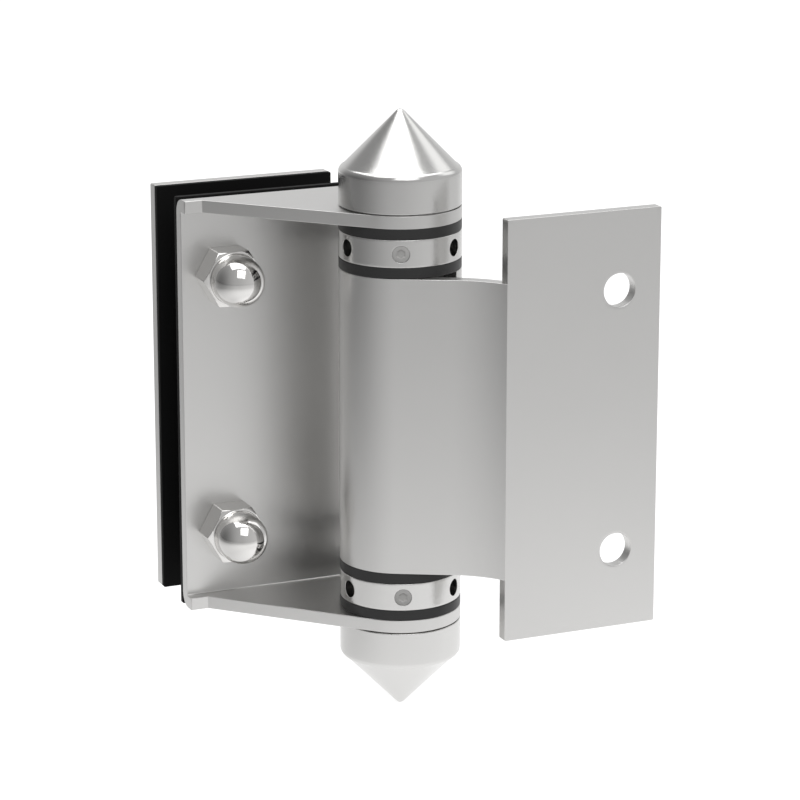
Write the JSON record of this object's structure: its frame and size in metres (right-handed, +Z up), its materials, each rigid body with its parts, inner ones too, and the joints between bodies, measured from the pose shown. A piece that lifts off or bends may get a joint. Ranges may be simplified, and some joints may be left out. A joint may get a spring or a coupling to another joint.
{
  "type": "self-closing glass gate hinge",
  "caption": "Self-closing hinge: a flat wall leaf rolled into a sprung barrel, and a folded bracket with a clamp plate that grips a glass panel.",
  "frame": {"origin": "midway between the wall leaf's two screw holes, on the face that lies against the post", "axes": "+Y out of the mounting face, into the post; +Z up along the hinge's axis; +X along the leaf, away from the barrel"},
  "size_m": [0.0983, 0.0732, 0.144],
  "materials": {
    "leaf_steel": "satin brushed stainless sheet",
    "bush_plastic": "dark moulded plastic",
    "anchor_steel": "turned steel",
    "spring_steel": "oiled square wire",
    "bracket_steel": "satin brushed stainless sheet",
    "spindle_steel": "turned steel",
    "cap_steel": "fine turned stainless",
    "washer_plastic": "dark moulded plastic",
    "gasket_rubber": "matt rubber sheet",
    "clamp_steel": "satin brushed stainless sheet",
    "stud_steel": "turned steel",
    "nut_steel": "mirror polished",
    "sleeve_plastic": "dark moulded plastic",
    "collar_steel": "turned stainless",
    "screw_steel": "machined steel"
  },
  "bodies": {
    "post_side": {"wall_leaf": "leaf_steel", "upper_barrel_bush": "bush_plastic", "lower_barrel_bush": "bush_plastic", "spring_anchor": "anchor_steel", "upper_torsion_spring": "spring_steel", "lower_torsion_spring": "spring_steel"},
    "gate_side": {"glass_bracket": "bracket_steel", "spindle": "spindle_steel", "upper_cone_cap": "cap_steel", "lower_cone_cap": "cap_steel", "upper_thrust_washer": "washer_plastic", "lower_thrust_washer": "washer_plastic", "front_gasket": "gasket_rubber", "rear_gasket": "gasket_rubber", "rear_clamp_plate": "clamp_steel", "upper_clamp_stud": "stud_steel", "lower_clamp_stud": "stud_steel", "upper_cap_nut": "nut_steel", "lower_cap_nut": "nut_steel", "upper_glass_sleeve": "sleeve_plastic", "lower_glass_sleeve": "sleeve_plastic"},
    "upper_collar": {"upper_tension_collar": "collar_steel", "upper_lock_screw": "screw_steel"},
    "lower_collar": {"lower_tension_collar": "collar_steel", "lower_lock_screw": "screw_steel"}
  },
  "joints": [
    {"name": "gate_swing", "type": "hinge", "parent": "post_side", "child": "gate_side", "pos_m": [-0.043, 0.0245, 0], "axis": [0, 0, 1], "range_deg": [0, 120], "stiffness_Nm_per_rad": 0.8, "springref_deg": -60.16, "deforming": ["upper_torsion_spring", "lower_torsion_spring"]},
    {"name": "upper_collar_turn", "type": "hinge", "parent": "gate_side", "child": "upper_collar", "pos_m": [-0.043, 0.0245, 0], "axis": [0, 0, 1], "range_deg": [0, 180]},
    {"name": "lower_collar_turn", "type": "hinge", "parent": "gate_side", "child": "lower_collar", "pos_m": [-0.043, 0.0245, 0], "axis": [0, 0, 1], "range_deg": [0, 180]}
  ]
}
